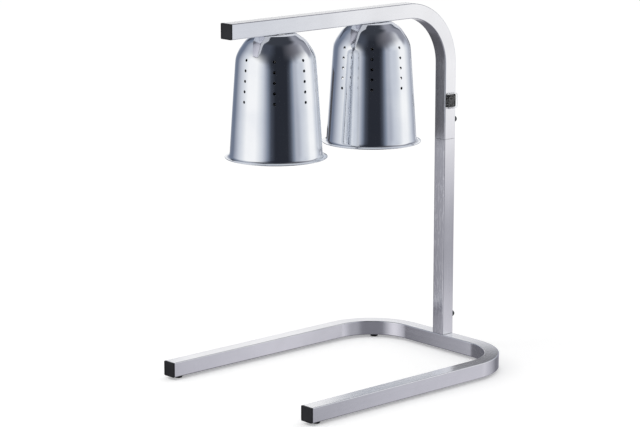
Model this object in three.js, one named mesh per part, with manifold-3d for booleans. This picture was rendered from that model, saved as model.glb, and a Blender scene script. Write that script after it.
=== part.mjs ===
// Counter-top food warmer: two heat lamps in spun metal shades, hung from a bent square-tube stand.
// Millimetres, +Z up. The open end of the base and the free end of the arm point to -Y.
// Everything is laid out from the column, whose centre line is X = 0, Y = 0. At the end the whole
// stand is shifted along Y, so that the origin is the bottom centre of its bounding box.
import * as THREE from "three";
import { mergeVertices } from "three/addons/utils/BufferGeometryUtils.js";
import Module from "manifold-3d";

const wasm = await Module();
wasm.setup();

// Fits and cuts
const seatGap = 0.3; // between pieces that rest on each other or sit in each other
const overrun = 1; // how far a cutting shape runs past the face that it cuts
const weldDistance = 1e-4; // vertices closer than this are one vertex

// Square tube, used for the base, the column and the arm
const tubeSize = 25.4;
const tubeWall = 1.5;
const tubeEdgeRadius = 1.5;
const tubeHalf = tubeSize / 2;
const tubeInside = tubeSize - 2 * tubeWall;

// Base: a U of tube that lies on four feet
const footHeight = 5;
const baseWidth = 373;
const baseDepth = 487.2;
const baseCornerRadius = 106.9;
const footInset = 17.6; // from the front end of a leg to the centre of its foot

// Column and arm
const standHeight = 621.1;
const armReach = 490.8; // from the column's centre line to the face of the arm's end cap
const armCornerRadius = 111.8;
const upperColumnLength = 217.2; // from the arm's underside to the joint with the lower column

// Inner tubes that join the column to the base and the arm to the column
const innerTubeWall = 2;
const postHeight = 60;
const sleeveDepth = 46; // how far the sleeve reaches into each of the two tubes
const clampHeight = 31.3; // from the foot of a joint to its clamping screw

// Clamping screws
const screwShankRadius = 2.7;
const screwTip = 2; // how far the shank passes through its nut
const knobRadius = 5.3;
const knobLength = 14.2;
const knobCollarRadius = 4.1;
const knobCollarLength = 3.2;
const knobDome = 5;
const nutFlats = 10;
const nutThickness = 5;

// End caps
const capHead = 2.8;
const capRim = 2.4;
const capRecess = 0.7;
const capEdgeRadius = 1;
const capPlugDepth = 9;
const capPlugWall = 1.8;

// Feet
const footRadius = 6.7;
const footChamfer = 0.9;
const footStemRadius = 3.6;
const footBarbRadius = 4.6;
const footBarbTipRadius = 2.6;
const footBarbHeight = 4;

// Lamps
const lampSpacing = 212;
const rearLampReach = 174.9; // from the column's centre line to the axis of the rear lamp

// Shade
const shadeWall = 1.1;
const shadeHeight = 200.4;
const shadeTopRadius = 32;
const shoulderRadius = 65.8;
const shoulderDrop = 52.5;
const skirtRadius = 75.4;
const lipWidth = 8.6;
const lipHeight = 7.4;
const ventRadius = 2.5;
const ventColumns = 8;
const ventRows = 5;
const ventPitch = 16.7;
const ventTopDrop = 36.2; // from the arm's underside to the centre of the highest row
const ventTurn = THREE.MathUtils.degToRad(2);
const shoulderShares = [
  [0, 0],
  [0.222, 0.055],
  [0.713, 0.396],
  [0.949, 0.7],
  [1, 1],
]; // outwards and down, from the flat top to the skirt
const skirtShares = [
  [0.52, 0.6],
  [1, 1],
]; // outwards and down, from the shoulder to the lip
const lipShares = [
  [0.2, 0.6],
  [0.6, 1],
  [1, 1],
]; // outwards and down, along the flare

// Threaded tube that hangs a lamp from the arm
const nippleRadius = 5;
const nippleBore = 3.75;
const nippleThreadIn = 8; // how far it screws into the lampholder
const nippleProud = 1; // how far it stands above its nut
const hangNutFlats = 15;
const hangNutThickness = 3.5;

// Lampholder
const holderHeight = 51;
const holderTopRadius = 14;
const holderRadius = 20;
const holderShoulder = 15;
const socketRadius = 14.2;
const chamberRadius = 11.5;
const chamberHeight = 8.5;
const chamberRoof = 8.6;
const shellWall = 0.6;
const shellInset = 1.6;
const contactRadius = 4.5;
const contactThickness = 0.8;
const contactStudRadius = 1.5;
const contactHeadRadius = 2.8;
const contactHeadHeight = 1.2;
const tabReach = 9; // from the lamp's axis to the shell's terminal tab
const tabThickness = 0.8;
const tabWidth = 3;

// Bulb
const capRadius = 13; // metal screw cap
const capLength = 24;
const capWall = 0.5;
const insulatorHeight = 2.4;
const eyeletRadius = 4.6;
const eyeletThickness = 1.1;
const bulbRadius = 63.5;
const bulbLength = 138; // glass below the cap's rim
const bulbNeckRadius = 17;
const glassWall = 1;
const glassInCap = 12;
const bulbShares = [
  [0, 0.035],
  [0.022, 0.11],
  [0.165, 0.2],
  [0.457, 0.36],
  [0.749, 0.55],
  [0.943, 0.7],
  [1, 0.8],
  [0.973, 0.88],
  [0.804, 0.945],
  [0.475, 0.985],
  [0.073, 0.997],
]; // outwards from the neck to the full radius, and down the glass
const stemRadius = 4;
const stemLength = 34;
const stemFlareThickness = 1.6;
const filamentRadius = 0.7;
const filamentRingRadius = 19;
const filamentDrop = 34; // from the stem to the ring

// Rocker switch on the side of the column
const switchDrop = 149.9; // from the arm's underside to the switch's centre
const flangeWidth = 21.4;
const flangeHeight = 24;
const flangeThickness = 2;
const flangeEdgeRadius = 0.7;
const switchBodyWidth = 18.2;
const switchBodyHeight = 21.6;
const switchBodyDepth = 13.4;
const rockerWidth = 15;
const rockerHalfLength = 8.8;
const rockerValley = 1.5;
const rockerSkirt = 1.2;
const rockerRunningGap = 0.4;
const rockerTilt = THREE.MathUtils.degToRad(10);
const pivotRadius = 1.2;
const pivotLength = 0.9;
const pivotRunningGap = 0.05;
const pivotHeight = 0.6; // above the column's face
const terminalWidth = 4.8;
const terminalThickness = 0.8;
const terminalReach = 3.4;
const terminalLength = 8;
const terminalRoot = 2.4;
const terminalSpacing = 12;
const bootWall = 1;
const bootHeight = 6.4;
const bootCornerRadius = 4;
const bootCrown = 2;

// Cable inlet on the back of the column, and the wiring inside
const inletDrop = 110.7; // from the arm's underside to the inlet's centre
const inletFlangeRadius = 8;
const inletFlange = 2.4;
const inletRadius = 6;
const inletBore = 3.9;
const inletBarb = 0.7;
const inletBarbLength = 3;
const leadRadius = 1.1;
const leadSideStep = 4; // of the long leads from the middle of the tube
const leadSideInNipple = 1.8;
const spliceRadius = 2.3;
const spliceLength = 9;
const spliceReach = 26; // from a lamp's axis to the splice of its branch
const wireCapRadius = 3.4;
const wireCapLength = 13;
const wireCapRise = 2; // from the inlet's centre to the bottom of the wire cap
const wireCapEnd = 3; // closed end below the bore

// Heights and places that follow from the sizes above
const baseTop = footHeight + tubeSize;
const armUnderside = standHeight - tubeSize;
const seamHeight = armUnderside - upperColumnLength;
const lowerColumnLength = seamHeight - baseTop;
const armCentre = standHeight - tubeHalf;
const innerTubeSize = tubeInside - 2 * seatGap;
const legX = baseWidth / 2 - tubeHalf;
const legEndY = tubeHalf - baseDepth + capHead;
const armEndY = -armReach + capHead;
const baseBend = baseCornerRadius - tubeHalf;
const armBend = armCornerRadius - tubeHalf;
const lampReaches = { rear: rearLampReach, front: rearLampReach + lampSpacing };
const switchZ = armUnderside - switchDrop;
const inletZ = armUnderside - inletDrop;
const clampHoleRadius = screwShankRadius + seatGap;

// Steps along curves
const bendSteps = 8;
const shadeSides = 24;
const bulbSides = 16;
const smallSides = 12;
const leadSides = 6;
const longLeadSteps = 32;
const branchSteps = 15;
const filamentSteps = 26;

// Finishes
const finish = (color, roughness, metalness) =>
  new THREE.MeshStandardMaterial({ color, roughness, metalness });
const finishes = {
  satinTube: finish(0xc4c6cc, 0.34, 1),
  innerTube: finish(0x9a9ca2, 0.45, 1),
  spunShade: finish(0xb9bdc9, 0.16, 1),
  blackPlastic: finish(0x2b2b2f, 0.5, 0),
  blackRubber: finish(0x1f1f21, 0.8, 0),
  clearRubber: finish(0xd8dde2, 0.35, 0),
  darkSteel: finish(0x35363b, 0.4, 1),
  zincSteel: finish(0xb4b6ba, 0.35, 1),
  porcelain: finish(0xeeece4, 0.3, 0),
  brass: finish(0xc8a24a, 0.3, 1),
  glass: finish(0xe9eef0, 0.08, 0),
  tungsten: finish(0x6b6a68, 0.4, 1),
  redLead: finish(0x9b2a22, 0.55, 0),
  whiteLead: finish(0xe6e3da, 0.55, 0),
};

// A geometry as a solid that can be cut and joined
function solid(geometry) {
  const bare = geometry.clone();
  bare.deleteAttribute("normal");
  bare.deleteAttribute("uv");
  const merged = mergeVertices(bare, weldDistance);
  return new wasm.Manifold(
    new wasm.Mesh({
      numProp: 3,
      vertProperties: merged.attributes.position.array,
      triVerts: new Uint32Array(merged.index.array),
    }),
  );
}

function geometryOf(shape) {
  const mesh = shape.getMesh();
  return new THREE.BufferGeometry()
    .setAttribute("position", new THREE.BufferAttribute(new Float32Array(mesh.vertProperties), 3))
    .setIndex(new THREE.BufferAttribute(new Uint32Array(mesh.triVerts), 1));
}

const combine = (body, tools, step) =>
  geometryOf(tools.reduce((sum, tool) => sum[step](solid(tool)), solid(body)));
const cut = (body, ...tools) => combine(body, tools, "subtract");
const join = (body, ...others) => combine(body, others, "add");
const overlap = (body, ...others) => combine(body, others, "intersect");

function piece(name, geometry, material, [x, y, z] = [0, 0, 0]) {
  const mesh = new THREE.Mesh(geometry, material);
  mesh.name = name;
  mesh.position.set(x, y, z);
  return mesh;
}

function assembly(position, ...children) {
  const group = new THREE.Group();
  group.position.set(...position);
  group.add(...children.flat());
  return group;
}

// Outline of a bar of constant width along straight runs that turn by right angles, with round bends
function barOutline(corners, bend, halfWidth) {
  const side = (offset) =>
    corners.flatMap((corner, i) => {
      const before = i > 0 && corner.clone().sub(corners[i - 1]).normalize();
      const after = i < corners.length - 1 && corners[i + 1].clone().sub(corner).normalize();
      if (!before || !after) {
        const run = before || after;
        return [corner.clone().add(new THREE.Vector2(-run.y, run.x).multiplyScalar(offset))];
      }
      const turn = Math.sign(before.cross(after));
      const centre = corner.clone().sub(before.clone().multiplyScalar(bend));
      centre.add(after.clone().multiplyScalar(bend));
      return Array.from({ length: bendSteps + 1 }, (_, step) => {
        const angle = (step / bendSteps) * (Math.PI / 2);
        return centre
          .clone()
          .add(after.clone().multiplyScalar(-(bend - turn * offset) * Math.cos(angle)))
          .add(before.clone().multiplyScalar((bend - turn * offset) * Math.sin(angle)));
      });
    });
  return new THREE.Shape([...side(halfWidth), ...side(-halfWidth).reverse()]);
}

// The same runs with both ends moved outwards
function lengthened(corners, extra) {
  const runs = corners.map((corner) => corner.clone());
  const last = runs.length - 1;
  runs[0].add(corners[0].clone().sub(corners[1]).setLength(extra));
  runs[last].add(corners[last].clone().sub(corners[last - 1]).setLength(extra));
  return runs;
}

// A slab of an outline, centred on the plane of the outline
function slab(outline, thickness, bevel = 0) {
  return new THREE.ExtrudeGeometry(outline, {
    depth: thickness - 2 * bevel,
    bevelEnabled: bevel > 0,
    bevelSize: bevel,
    bevelThickness: bevel,
    bevelOffset: -bevel,
    bevelSegments: 1,
    curveSegments: 1,
  }).translate(0, 0, bevel - thickness / 2);
}

// A hollow square tube with open ends, bent in one plane
function bentTube(corners, bend) {
  const edges = slab(barOutline(lengthened(corners, tubeSize), bend, tubeHalf), tubeSize, tubeEdgeRadius);
  const ends = slab(barOutline(corners, bend, tubeHalf + overrun), tubeSize + 2 * overrun);
  const bore = slab(barOutline(lengthened(corners, overrun), bend, tubeHalf - tubeWall), tubeInside);
  return cut(overlap(edges, ends), bore);
}

function roundedRectangle(width, height, radius) {
  const x = width / 2 - radius;
  const y = height / 2 - radius;
  const shape = new THREE.Shape();
  shape.absarc(x, y, radius, 0, Math.PI / 2);
  shape.absarc(-x, y, radius, Math.PI / 2, Math.PI);
  shape.absarc(-x, -y, radius, Math.PI, 1.5 * Math.PI);
  shape.absarc(x, -y, radius, 1.5 * Math.PI, 2 * Math.PI);
  return shape;
}

// A straight square tube that stands on Z = 0
function straightTube(size, wall, edgeRadius, length) {
  const section = roundedRectangle(size, size, edgeRadius);
  const bar = new THREE.ExtrudeGeometry(section, { depth: length, bevelEnabled: false, curveSegments: 2 });
  const inside = size - 2 * wall;
  return cut(bar, block(inside, inside, length + 2 * overrun, [0, 0, length / 2]));
}

// A turned piece about the Y axis, from a profile of [radius, height] points in either order
function turned(profile, sides = smallSides) {
  const points = profile.map(([radius, height]) => new THREE.Vector2(radius, height));
  if (THREE.ShapeUtils.isClockWise(points)) points.reverse();
  const closesOnAxis = points[0].x === 0 && points[points.length - 1].x === 0;
  if (!closesOnAxis) points.push(points[0].clone());
  return new THREE.LatheGeometry(points, sides);
}

// The same about the Z axis
const turnedUpright = (profile, sides) => turned(profile, sides).rotateX(Math.PI / 2);

// A ring between two radii and two heights
const ring = (inner, outer, low, high) => [
  [inner, low],
  [outer, low],
  [outer, high],
  [inner, high],
];

// Points of an outline moved sideways by a wall thickness
function offsetOutline(points, wall) {
  return points.map(([x, y], i) => {
    const [x0, y0] = points[Math.max(i - 1, 0)];
    const [x1, y1] = points[Math.min(i + 1, points.length - 1)];
    const run = new THREE.Vector2(x1 - x0, y1 - y0).setLength(wall);
    return [x + run.y, y - run.x];
  });
}

// A round rod between two heights, to cut holes or to add pins
function rod(radius, low, high, sides = smallSides) {
  return turned([[0, low], [radius, low], [radius, high], [0, high]], sides);
}

function block(width, depth, height, [x, y, z] = [0, 0, 0]) {
  return new THREE.BoxGeometry(width, depth, height).translate(x, y, z);
}

// A hexagonal nut about the Y axis, between Y = 0 and minus its thickness
function hexNut(flats, boreRadius, thickness) {
  const corner = flats / 2 / Math.cos(Math.PI / 6);
  const body = new THREE.CylinderGeometry(corner, corner, thickness, 6).translate(0, -thickness / 2, 0);
  return cut(body, rod(boreRadius, -thickness - overrun, overrun));
}

// Base

const legFrontY = legEndY - capHead;
const frontFootY = legFrontY + footInset;
const bendFootShift = baseBend * Math.SQRT1_2;
const rearFootX = legX - baseBend + bendFootShift;
const rearFootY = bendFootShift - baseBend;
const footPlaces = {
  foot_front_left: [-legX, frontFootY],
  foot_front_right: [legX, frontFootY],
  foot_rear_left: [-rearFootX, rearFootY],
  foot_rear_right: [rearFootX, rearFootY],
};

function baseFrame() {
  const runs = [
    [-legX, legEndY],
    [-legX, 0],
    [legX, 0],
    [legX, legEndY],
  ];
  const tube = bentTube(runs.map(([x, y]) => new THREE.Vector2(x, y)), baseBend);
  const holes = Object.values(footPlaces).map(([x, y]) =>
    rod(footStemRadius + seatGap, -overrun, tubeWall + overrun)
      .rotateX(Math.PI / 2)
      .translate(x, y, -tubeHalf),
  );
  return cut(tube, ...holes);
}

// A foot hangs from the tube's underside at Z = 0, held by a barbed stem
function foot() {
  const stemTop = tubeWall + seatGap;
  return turnedUpright([
    [0, -footHeight],
    [footRadius - footChamfer, -footHeight],
    [footRadius, footChamfer - footHeight],
    [footRadius, -seatGap],
    [footStemRadius, -seatGap],
    [footStemRadius, stemTop],
    [footBarbRadius, stemTop],
    [footBarbTipRadius, stemTop + footBarbHeight],
    [0, stemTop + footBarbHeight],
  ]);
}

// An end cap fits a tube whose open end is at Y = 0 and faces -Y
function endCap() {
  const outline = roundedRectangle(tubeSize, tubeSize, tubeEdgeRadius);
  const headThickness = capHead - seatGap;
  const head = cut(
    slab(outline, 2 * headThickness, capEdgeRadius),
    block(tubeSize + overrun, tubeSize + overrun, capHead, [0, 0, -capHead / 2]),
  ).translate(0, 0, seatGap);
  const recessSize = tubeSize - 2 * capRim;
  const recess = slab(roundedRectangle(recessSize, recessSize, capRim), 2 * capRecess);
  const plugLength = capPlugDepth + seatGap + headThickness / 2;
  const plug = straightTube(innerTubeSize, capPlugWall, tubeEdgeRadius, plugLength);
  const cap = join(
    cut(head, recess.translate(0, 0, capHead)),
    plug.translate(0, 0, -capPlugDepth),
  );
  return cap.rotateX(Math.PI / 2);
}

// Column and arm

const innerTube = (length) => straightTube(innerTubeSize, innerTubeWall, tubeEdgeRadius, length);

// A clearance hole for a clamping screw through the back wall of a tube about the Z axis
const clampHole = (height) =>
  rod(clampHoleRadius, tubeHalf / 2, tubeHalf + overrun).translate(0, 0, height);

function lowerColumn() {
  const tube = straightTube(tubeSize, tubeWall, tubeEdgeRadius, lowerColumnLength - seatGap);
  return cut(tube, clampHole(clampHeight - seatGap));
}

function armTube() {
  const runs = [
    [0, seamHeight + seatGap],
    [0, armCentre],
    [armEndY, armCentre],
  ];
  const tube = bentTube(runs.map(([y, z]) => new THREE.Vector2(y, z)), armBend);
  const upright = new THREE.Matrix4().makeBasis(
    new THREE.Vector3(0, 1, 0),
    new THREE.Vector3(0, 0, 1),
    new THREE.Vector3(1, 0, 0),
  );
  const lampHoles = Object.values(lampReaches).map((reach) =>
    rod(nippleRadius + seatGap, armUnderside - overrun, armCentre).rotateX(Math.PI / 2).translate(0, -reach, 0),
  );
  const inletHole = rod(inletRadius + seatGap, 0, tubeSize).translate(0, 0, inletZ);
  const switchHole = block(
    tubeSize,
    switchBodyWidth + 2 * seatGap,
    switchBodyHeight + 2 * seatGap,
    [tubeHalf, 0, switchZ],
  );
  return cut(
    tube.applyMatrix4(upright),
    clampHole(seamHeight + clampHeight),
    inletHole,
    switchHole,
    ...lampHoles,
  );
}

// Clamping screw, on the column's back face at Y = 0, pointing to +Y
const innerWallFace = -(tubeWall + seatGap);
const nutFace = innerWallFace - innerTubeWall - seatGap;

function clampScrew() {
  const domeSteps = 5;
  const dome = Array.from({ length: domeSteps }, (_, step) => {
    const angle = (step / domeSteps) * (Math.PI / 2);
    return [knobRadius * Math.cos(angle), knobLength - knobDome * (1 - Math.sin(angle))];
  });
  return turned([
    [0, nutFace - nutThickness - screwTip],
    [screwShankRadius, nutFace - nutThickness - screwTip],
    [screwShankRadius, seatGap],
    [knobCollarRadius, seatGap],
    [knobCollarRadius, knobCollarLength],
    [knobRadius, knobCollarLength],
    ...dome,
    [0, knobLength],
  ]);
}

// Lamps. Each is laid out about its own axis, with Z = 0 at the arm's underside.

const shadeTopZ = -seatGap;
const shadeNutTop = shadeTopZ - shadeWall - seatGap;
const holderTop = shadeNutTop - hangNutThickness - seatGap;
const holderMouth = holderTop - holderHeight;
const chamberTop = holderTop - chamberRoof;
const chamberFloor = chamberTop - chamberHeight;
const nippleFoot = holderTop - nippleThreadIn;
const nippleTop = tubeWall + seatGap + hangNutThickness + nippleProud;
const shellFoot = holderMouth + shellInset;
const shellOuter = socketRadius - seatGap;
const shellInner = shellOuter - shellWall;
const bulbCapFoot = shellFoot - seatGap;
const bulbCapTop = bulbCapFoot + capLength;
const insulatorTop = bulbCapTop + seatGap + insulatorHeight;
const eyeletTop = insulatorTop + eyeletThickness;
const contactFoot = eyeletTop + seatGap;
const contactTop = contactFoot + contactThickness;
const socketCeiling = contactTop + seatGap;
const shellTop = insulatorTop;
const contactHeadFoot = chamberFloor + seatGap;
const contactHeadTop = contactHeadFoot + contactHeadHeight;
const tabTop = contactHeadTop;

function shadeProfile() {
  const holeRadius = nippleRadius + seatGap;
  const span = shoulderRadius - shadeTopRadius;
  const skirtDrop = shadeHeight - lipHeight - shoulderDrop;
  const outer = [
    [holeRadius, 0],
    ...shoulderShares.map(([out, down]) => [shadeTopRadius + span * out, -shoulderDrop * down]),
    ...skirtShares.map(([out, down]) => [
      shoulderRadius + (skirtRadius - shoulderRadius) * out,
      -shoulderDrop - skirtDrop * down,
    ]),
    ...lipShares.map(([out, down]) => [
      skirtRadius + lipWidth * out,
      -shoulderDrop - skirtDrop - (lipHeight - shadeWall) * down,
    ]),
  ];
  return [...outer, ...offsetOutline(outer, shadeWall).reverse()];
}

function shade() {
  const body = turnedUpright(shadeProfile(), shadeSides);
  const vents = [];
  for (let column = 0; column < ventColumns; column++) {
    for (let row = 0; row < ventRows; row++) {
      const vent = rod(ventRadius, shadeTopRadius, skirtRadius + overrun, 6)
        .rotateZ(ventTurn + (column / ventColumns) * 2 * Math.PI)
        .translate(0, 0, -ventTopDrop - row * ventPitch);
      vents.push(vent);
    }
  }
  return cut(body, ...vents).translate(0, 0, shadeTopZ);
}

function lampholder() {
  const body = turnedUpright(
    [
      [0, holderTop],
      [holderTopRadius, holderTop],
      [holderTopRadius, holderTop - holderShoulder / 2],
      [holderRadius, holderTop - holderShoulder],
      [holderRadius, holderMouth],
      [socketRadius, holderMouth],
      [socketRadius, socketCeiling],
      [0, socketCeiling],
    ],
    bulbSides,
  );
  const upright = (shape) => shape.rotateX(Math.PI / 2);
  return cut(
    body,
    upright(rod(nippleRadius + seatGap, nippleFoot - seatGap, holderTop + overrun)),
    upright(rod(nippleBore, chamberTop - overrun, holderTop)),
    upright(rod(chamberRadius, chamberFloor, chamberTop)),
    upright(rod(contactStudRadius + seatGap, socketCeiling - overrun, chamberFloor + overrun)),
    block(
      tabThickness + 2 * seatGap,
      tabWidth + 2 * seatGap,
      chamberFloor - socketCeiling + 2 * overrun,
      [tabReach, 0, (chamberFloor + socketCeiling) / 2],
    ),
  );
}

function screwShell() {
  const wall = turnedUpright(ring(shellInner, shellOuter, shellFoot, shellTop), bulbSides);
  const flange = turnedUpright(ring(tabReach - tabThickness, shellOuter, shellTop - shellWall, shellTop), bulbSides);
  const tabFoot = shellTop - shellWall / 2;
  const tab = block(tabThickness, tabWidth, tabTop - tabFoot, [tabReach, 0, (tabTop + tabFoot) / 2]);
  return join(wall, flange, tab);
}

const centreContact = () =>
  turnedUpright([
    [0, contactFoot],
    [contactRadius, contactFoot],
    [contactRadius, contactTop],
    [contactStudRadius, contactTop],
    [contactStudRadius, contactHeadFoot],
    [contactHeadRadius, contactHeadFoot],
    [contactHeadRadius, contactHeadTop],
    [0, contactHeadTop],
  ]);

function bulbCap() {
  const lipRadius = (capRadius + eyeletRadius) / 2;
  return turnedUpright(
    [
      [capRadius - capWall, bulbCapFoot],
      [capRadius, bulbCapFoot],
      [capRadius, bulbCapTop],
      [lipRadius, bulbCapTop],
      [lipRadius, bulbCapTop - capWall],
      [capRadius - capWall, bulbCapTop - capWall],
    ],
    bulbSides,
  );
}

const bulbInsulator = () =>
  turnedUpright(
    [
      [0, bulbCapTop + seatGap],
      [capRadius - capWall, bulbCapTop + seatGap],
      [eyeletRadius, insulatorTop - seatGap],
      [0, insulatorTop - seatGap],
    ],
    bulbSides,
  );

const bulbEyelet = () =>
  turnedUpright([
    [0, insulatorTop],
    [eyeletRadius, insulatorTop],
    [eyeletRadius / 2, eyeletTop],
    [0, eyeletTop],
  ]);

const glassTop = bulbCapFoot + glassInCap;
const glassNeckRadius = capRadius - capWall - seatGap;
const stemTop = glassTop - seatGap;
const stemFoot = stemTop - stemLength;

function bulbGlass() {
  const outer = [
    [glassNeckRadius, glassTop],
    [glassNeckRadius, holderMouth],
    ...bulbShares.map(([out, down]) => [
      bulbNeckRadius + (bulbRadius - bulbNeckRadius) * out,
      bulbCapFoot - bulbLength * down,
    ]),
    [0, bulbCapFoot - bulbLength],
  ];
  const inner = offsetOutline(outer, glassWall);
  inner[inner.length - 1] = [0, bulbCapFoot - bulbLength + glassWall];
  return turnedUpright([...outer, ...inner.reverse()], bulbSides);
}

// The glass stem hangs in the neck and carries the filament
const bulbStem = () =>
  turnedUpright([
    [0, stemFoot],
    [stemRadius, stemFoot],
    [stemRadius, stemTop - 2 * stemFlareThickness],
    [glassNeckRadius - glassWall - seatGap, stemTop - stemFlareThickness],
    [glassNeckRadius - glassWall - seatGap, stemTop],
    [0, stemTop],
  ]);

function lead(points, radius, steps) {
  const path = new THREE.CatmullRomCurve3(points.map((point) => new THREE.Vector3(...point)));
  const section = new THREE.Shape();
  section.absarc(0, 0, radius, 0, 2 * Math.PI);
  return new THREE.ExtrudeGeometry(section, { steps, extrudePath: path, curveSegments: leadSides / 2 });
}

function filament() {
  const start = stemFoot - seatGap;
  const low = start - filamentDrop;
  const legs = stemRadius - filamentRadius;
  const turns = [0.08, 0.25, 0.42, 0.58, 0.75, 0.92];
  const around = turns.map((share) => {
    const angle = share * 2 * Math.PI;
    return [filamentRingRadius * Math.cos(angle), filamentRingRadius * Math.sin(angle), low];
  });
  const points = [
    [legs, filamentRadius, start],
    [legs, filamentRadius, start - filamentDrop / 2],
    ...around,
    [legs, -filamentRadius - seatGap, start - filamentDrop / 2],
    [legs, -filamentRadius - seatGap, start],
  ];
  return lead(points, filamentRadius, filamentSteps);
}

const upNut = (height) =>
  hexNut(hangNutFlats, nippleRadius + seatGap, hangNutThickness)
    .rotateX(Math.PI / 2)
    .translate(0, 0, height + hangNutThickness);

function lamp(side) {
  const nipple = turnedUpright(ring(nippleBore, nippleRadius, nippleFoot, nippleTop));
  return assembly([0, -lampReaches[side], armUnderside], [
    piece(side + "_shade", shade(), finishes.spunShade),
    piece(side + "_lamp_nipple", nipple, finishes.zincSteel),
    piece(side + "_arm_nut", upNut(tubeWall + seatGap), finishes.zincSteel),
    piece(side + "_shade_nut", upNut(shadeNutTop - hangNutThickness), finishes.zincSteel),
    piece(side + "_lampholder", lampholder(), finishes.porcelain),
    piece(side + "_screw_shell", screwShell(), finishes.brass),
    piece(side + "_centre_contact", centreContact(), finishes.brass),
    piece(side + "_bulb_cap", bulbCap(), finishes.brass),
    piece(side + "_bulb_insulator", bulbInsulator(), finishes.blackPlastic),
    piece(side + "_bulb_eyelet", bulbEyelet(), finishes.zincSteel),
    piece(side + "_bulb_glass", bulbGlass(), finishes.glass),
    piece(side + "_bulb_stem", bulbStem(), finishes.glass),
    piece(side + "_filament", filament(), finishes.tungsten),
  ]);
}

// Switch. It is laid out with X = 0 on the column's side face and Z = 0 at its centre, facing +X.

const wellHalfLength = rockerHalfLength + rockerSkirt * Math.sin(rockerTilt) + 2 * rockerRunningGap;
const wellDepth = pivotHeight + rockerHalfLength * Math.sin(rockerTilt) + rockerSkirt + rockerRunningGap;
const facing = new THREE.Matrix4().makeBasis(
  new THREE.Vector3(0, 1, 0),
  new THREE.Vector3(0, 0, 1),
  new THREE.Vector3(1, 0, 0),
);

function switchHousing() {
  const cornerRadius = bootCornerRadius - bootWall - seatGap;
  const flangeOutline = roundedRectangle(flangeWidth, flangeHeight, cornerRadius);
  const flange = slab(flangeOutline, 2 * flangeThickness, flangeEdgeRadius).applyMatrix4(facing);
  const behind = block(tubeSize, tubeSize, tubeSize + flangeHeight, [seatGap - tubeHalf, 0, 0]);
  const body = block(
    switchBodyDepth + flangeThickness / 2,
    switchBodyWidth,
    switchBodyHeight,
    [(flangeThickness / 2 - switchBodyDepth) / 2, 0, 0],
  );
  const well = block(
    wellDepth + flangeThickness + overrun,
    rockerWidth + 2 * rockerRunningGap,
    2 * wellHalfLength,
    [(flangeThickness + overrun - wellDepth) / 2, 0, 0],
  );
  const pivotHalf = rockerWidth / 2 + pivotLength + rockerRunningGap;
  const pivots = rod(pivotRadius + pivotRunningGap, -pivotHalf, pivotHalf).translate(pivotHeight, 0, 0);
  const slots = [-1, 1].map((end) =>
    block(
      2 * (terminalRoot + seatGap),
      terminalWidth + 2 * seatGap,
      terminalThickness + 2 * seatGap,
      [-switchBodyDepth, 0, (end * terminalSpacing) / 2],
    ),
  );
  return cut(join(cut(flange, behind), body), well, pivots, ...slots);
}

// The rocker turns about Y at its pivot. At rest its lower end is pressed in.
function rocker() {
  const rise = rockerHalfLength * Math.tan(rockerTilt);
  const outline = new THREE.Shape(
    [
      [-rockerHalfLength, rockerValley + rise],
      [-rockerHalfLength, -rockerSkirt],
      [rockerHalfLength, -rockerSkirt],
      [rockerHalfLength, rockerValley + rise],
      [0, rockerValley],
    ].map(([along, out]) => new THREE.Vector2(out, along)),
  );
  const body = slab(outline, rockerWidth).rotateX(Math.PI / 2);
  const pins = rod(pivotRadius, -rockerWidth / 2 - pivotLength, rockerWidth / 2 + pivotLength);
  return join(body, pins).rotateY(rockerTilt);
}

// Soft cover over the switch
function boot() {
  const width = flangeWidth + 2 * (seatGap + bootWall);
  const height = flangeHeight + 2 * (seatGap + bootWall);
  const outer = slab(roundedRectangle(width, height, bootCornerRadius), 2 * bootHeight, bootCrown);
  const inside = slab(
    roundedRectangle(width - 2 * bootWall, height - 2 * bootWall, bootCornerRadius - bootWall),
    2 * (bootHeight - bootWall),
    bootCrown / 2,
  );
  const behind = block(2 * bootHeight, 2 * tubeSize, 2 * tubeSize, [seatGap - bootHeight, 0, 0]);
  return cut(cut(outer, inside).applyMatrix4(facing), behind);
}

// An L-shaped blade: its root sits in the housing's back, and it turns up or down behind it
function terminal(end) {
  const back = -switchBodyDepth;
  const root = block(
    terminalRoot + terminalReach,
    terminalWidth,
    terminalThickness,
    [back + (terminalRoot - terminalReach) / 2, 0, 0],
  );
  const blade = block(
    terminalThickness,
    terminalWidth,
    terminalLength,
    [back - terminalReach + terminalThickness / 2, 0, end * (terminalLength - terminalThickness) / 2],
  );
  return join(root, blade);
}

const terminalX = tubeHalf - switchBodyDepth - terminalReach + terminalThickness / 2;
const terminalTopZ = switchZ + terminalSpacing / 2 + terminalLength - terminalThickness / 2;

// Cable inlet: a snap-in bushing in the back wall, laid out with Y = 0 on the column's back face
const inletBushing = () =>
  turned(
    [
      [inletBore, inletFlange],
      [inletFlangeRadius - inletFlange / 3, inletFlange],
      [inletFlangeRadius, (inletFlange * 2) / 3],
      [inletFlangeRadius, seatGap],
      [inletRadius, seatGap],
      [inletRadius, -tubeWall - seatGap],
      [inletRadius + inletBarb, -tubeWall - seatGap],
      [inletRadius, -tubeWall - seatGap - inletBarbLength],
      [inletBore, -tubeWall - seatGap - inletBarbLength],
    ],
    bulbSides,
  );

// Wiring: one long lead each way, with a branch down into each lamp
const armBendStart = armCentre - armBend;

function longLead(x, start, startX) {
  const frontSplice = -lampReaches.front + spliceReach;
  const halfTurn = armBend * (1 - Math.SQRT1_2);
  return lead(
    [
      [startX, 0, start],
      [startX, 0, start + spliceLength],
      [x, 0, start + spliceReach],
      [x, 0, armBendStart],
      [x, -halfTurn, armCentre - halfTurn],
      [x, -armBend, armCentre],
      [x, -lampReaches.rear, armCentre],
      [x, (frontSplice - lampReaches.rear) / 2, armCentre],
      [x, frontSplice, armCentre],
    ],
    leadRadius,
    longLeadSteps,
  );
}

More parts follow.
